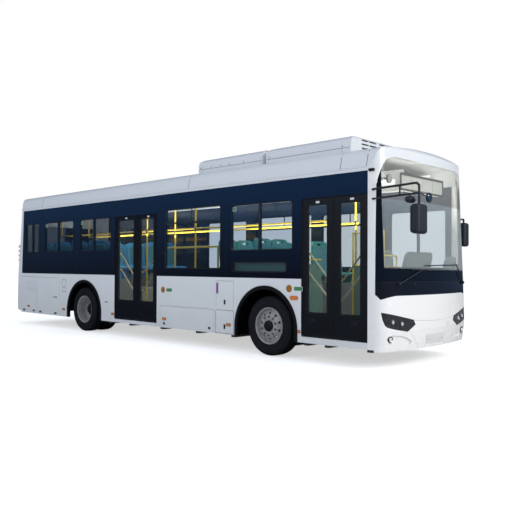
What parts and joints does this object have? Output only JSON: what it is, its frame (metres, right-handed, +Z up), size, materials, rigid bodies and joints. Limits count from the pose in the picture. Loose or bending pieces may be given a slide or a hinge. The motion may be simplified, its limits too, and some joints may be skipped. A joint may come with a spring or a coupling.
{
  "type": "city bus",
  "caption": "Low-floor electric city bus with two folding-inward double doors, steered front wheels, twin rear wheels and opening side flaps.",
  "frame": {"origin": "on the ground at the middle of the bus's overall length and width", "axes": "+X forward, +Y left, +Z up"},
  "size_m": [11.303, 2.975, 3.345],
  "materials": {
    "body_paint": "gloss white paint",
    "band_black": "dark gloss panel",
    "frame_steel": "black underseal",
    "floor_vinyl": "grey vinyl floor",
    "mask_white": "gloss white moulding",
    "cowl_black": "gloss black moulding",
    "screen_glass": "clear laminated glass",
    "side_glass": "tinted glass",
    "axle_black": "black painted",
    "tyre_rubber": "black rubber",
    "rim_silver": "satin silver",
    "battery_grey": "grey",
    "seat_plastic": "moulded blue",
    "driver_fabric": "grey cloth",
    "rail_yellow": "yellow powder coat",
    "trim_black": "black moulding",
    "partition_green": "green laminate",
    "dash_grey": "grained grey green",
    "mirror_black": "black",
    "lamp_dark": "smoked lens",
    "lamp_red": "red lens",
    "sign_grey": "blank display",
    "door_black": "black frame",
    "ceiling_grey": "pale lining",
    "door_glass": "lightly tinted glass"
  },
  "bodies": {
    "body": {"chassis_frame": "frame_steel", "floor": "floor_vinyl", "roof_shell": "body_paint", "ceiling": "ceiling_grey", "front_mask": "mask_white", "front_bumper": "mask_white", "wiper_cowl": "cowl_black", "rear_panel": "body_paint", "windscreen": "screen_glass", "window_glass": "side_glass", "arch_trims": "trim_black", "driver_partition": "partition_green", "front_axle": "axle_black", "rear_axle": "axle_black", "battery_pack": "battery_grey", "passenger_seats": "seat_plastic", "driver_seat": "driver_fabric", "handrails": "rail_yellow", "dashboard": "dash_grey", "mirrors": "mirror_black", "wipers": "mirror_black", "headlamps": "lamp_dark", "tail_lamps": "lamp_red", "destination_sign": "sign_grey", "side_skirt_right": "body_paint", "side_skirt_left": "body_paint", "window_band_right": "band_black", "window_band_left": "band_black", "roof_pod_front": "body_paint", "roof_pod_rear": "body_paint"},
    "knuckle_left": {"knuckle_left": "axle_black"},
    "front_wheel_left": {"front_tyre_left": "tyre_rubber", "front_rim_left": "rim_silver"},
    "rear_wheels_left": {"rear_tyres_left": "tyre_rubber", "rear_rims_left": "rim_silver"},
    "knuckle_right": {"knuckle_right": "axle_black"},
    "front_wheel_right": {"front_tyre_right": "tyre_rubber", "front_rim_right": "rim_silver"},
    "rear_wheels_right": {"rear_tyres_right": "tyre_rubber", "rear_rims_right": "rim_silver"},
    "front_door_fore_arm": {"front_door_fore_arm": "axle_black"},
    "front_door_fore": {"front_door_fore": "door_black", "front_door_fore_glass": "door_glass"},
    "front_door_aft_arm": {"front_door_aft_arm": "axle_black"},
    "front_door_aft": {"front_door_aft": "door_black", "front_door_aft_glass": "door_glass"},
    "middle_door_fore_arm": {"middle_door_fore_arm": "axle_black"},
    "middle_door_fore": {"middle_door_fore": "door_black", "middle_door_fore_glass": "door_glass"},
    "middle_door_aft_arm": {"middle_door_aft_arm": "axle_black"},
    "middle_door_aft": {"middle_door_aft": "door_black", "middle_door_aft_glass": "door_glass"},
    "battery_flap": {"battery_flap": "body_paint"},
    "charge_flap": {"charge_flap": "body_paint"},
    "rear_flap_fore": {"rear_flap_fore": "body_paint"},
    "rear_flap_aft": {"rear_flap_aft": "body_paint"},
    "engine_lid": {"engine_lid": "body_paint"}
  },
  "joints": [
    {"name": "steer_left", "type": "hinge", "parent": "body", "child": "knuckle_left", "pos_m": [2.84, 0.9505, 0.472], "axis": [0, 0, 1], "range_deg": [-40, 40]},
    {"name": "front_wheel_spin_left", "type": "hinge", "parent": "knuckle_left", "child": "front_wheel_left", "pos_m": [2.84, 1.0625, 0.472], "axis": [0, 1, 0], "continuous": true},
    {"name": "rear_wheels_spin_left", "type": "hinge", "parent": "body", "child": "rear_wheels_left", "pos_m": [-2.56, 1.0625, 0.472], "axis": [0, 1, 0], "continuous": true},
    {"name": "steer_right", "type": "hinge", "parent": "body", "child": "knuckle_right", "pos_m": [2.84, -0.9505, 0.472], "axis": [0, 0, 1], "range_deg": [-40, 40]},
    {"name": "front_wheel_spin_right", "type": "hinge", "parent": "knuckle_right", "child": "front_wheel_right", "pos_m": [2.84, -1.0625, 0.472], "axis": [0, 1, 0], "continuous": true},
    {"name": "rear_wheels_spin_right", "type": "hinge", "parent": "body", "child": "rear_wheels_right", "pos_m": [-2.56, -1.0625, 0.472], "axis": [0, 1, 0], "continuous": true},
    {"name": "front_door_fore_arm_swing", "type": "hinge", "parent": "body", "child": "front_door_fore_arm", "pos_m": [4.754, -1.16, 0.4], "axis": [0, 0, -1], "range_deg": [0, 79]},
    {"name": "front_door_fore_turn", "type": "hinge", "parent": "front_door_fore_arm", "child": "front_door_fore", "pos_m": [4.45, -1.16, 0.4], "axis": [0, 0, 1], "range_deg": [0, 158]},
    {"name": "front_door_aft_arm_swing", "type": "hinge", "parent": "body", "child": "front_door_aft_arm", "pos_m": [3.52, -1.16, 0.4], "axis": [0, 0, 1], "range_deg": [0, 79]},
    {"name": "front_door_aft_turn", "type": "hinge", "parent": "front_door_aft_arm", "child": "front_door_aft", "pos_m": [3.827, -1.16, 0.4], "axis": [0, 0, -1], "range_deg": [0, 158]},
    {"name": "middle_door_fore_arm_swing", "type": "hinge", "parent": "body", "child": "middle_door_fore_arm", "pos_m": [0.085, -1.16, 0.4], "axis": [0, 0, -1], "range_deg": [0, 79]},
    {"name": "middle_door_fore_turn", "type": "hinge", "parent": "middle_door_fore_arm", "child": "middle_door_fore", "pos_m": [-0.2495, -1.16, 0.4], "axis": [0, 0, 1], "range_deg": [0, 158]},
    {"name": "middle_door_aft_arm_swing", "type": "hinge", "parent": "body", "child": "middle_door_aft_arm", "pos_m": [-1.366, -1.16, 0.4], "axis": [0, 0, 1], "range_deg": [0, 79]},
    {"name": "middle_door_aft_turn", "type": "hinge", "parent": "middle_door_aft_arm", "child": "middle_door_aft", "pos_m": [-0.981, -1.16, 0.4], "axis": [0, 0, -1], "range_deg": [0, 158]},
    {"name": "battery_flap_hinge", "type": "hinge", "parent": "body", "child": "battery_flap", "pos_m": [0.8965, -1.25, 0.674], "axis": [-1, 0, 0], "range_deg": [0, 90]},
    {"name": "charge_flap_hinge", "type": "hinge", "parent": "body", "child": "charge_flap", "pos_m": [1.898, -1.25, 1.16], "axis": [-1, 0, 0], "range_deg": [0, 90]},
    {"name": "rear_flap_fore_hinge", "type": "hinge", "parent": "body", "child": "rear_flap_fore", "pos_m": [-4.0275, -1.25, 1.134], "axis": [-1, 0, 0], "range_deg": [0, 90]},
    {"name": "rear_flap_aft_hinge", "type": "hinge", "parent": "body", "child": "rear_flap_aft", "pos_m": [-4.935, -1.25, 1.146], "axis": [-1, 0, 0], "range_deg": [0, 90]},
    {"name": "engine_lid_hinge", "type": "hinge", "parent": "body", "child": "engine_lid", "pos_m": [-5.5631, 0, 1.554], "axis": [0, 1, 0], "range_deg": [0, 75]}
  ],
  "couplings": [
    {"joint": "steer_right", "follows": "steer_left", "ratio": 1},
    {"joint": "front_door_fore_turn", "follows": "front_door_fore_arm_swing", "ratio": 2},
    {"joint": "front_door_aft_arm_swing", "follows": "front_door_fore_arm_swing", "ratio": 1},
    {"joint": "front_door_aft_turn", "follows": "front_door_fore_arm_swing", "ratio": 2},
    {"joint": "middle_door_fore_turn", "follows": "middle_door_fore_arm_swing", "ratio": 2},
    {"joint": "middle_door_aft_arm_swing", "follows": "middle_door_fore_arm_swing", "ratio": 1},
    {"joint": "middle_door_aft_turn", "follows": "middle_door_fore_arm_swing", "ratio": 2}
  ]
}
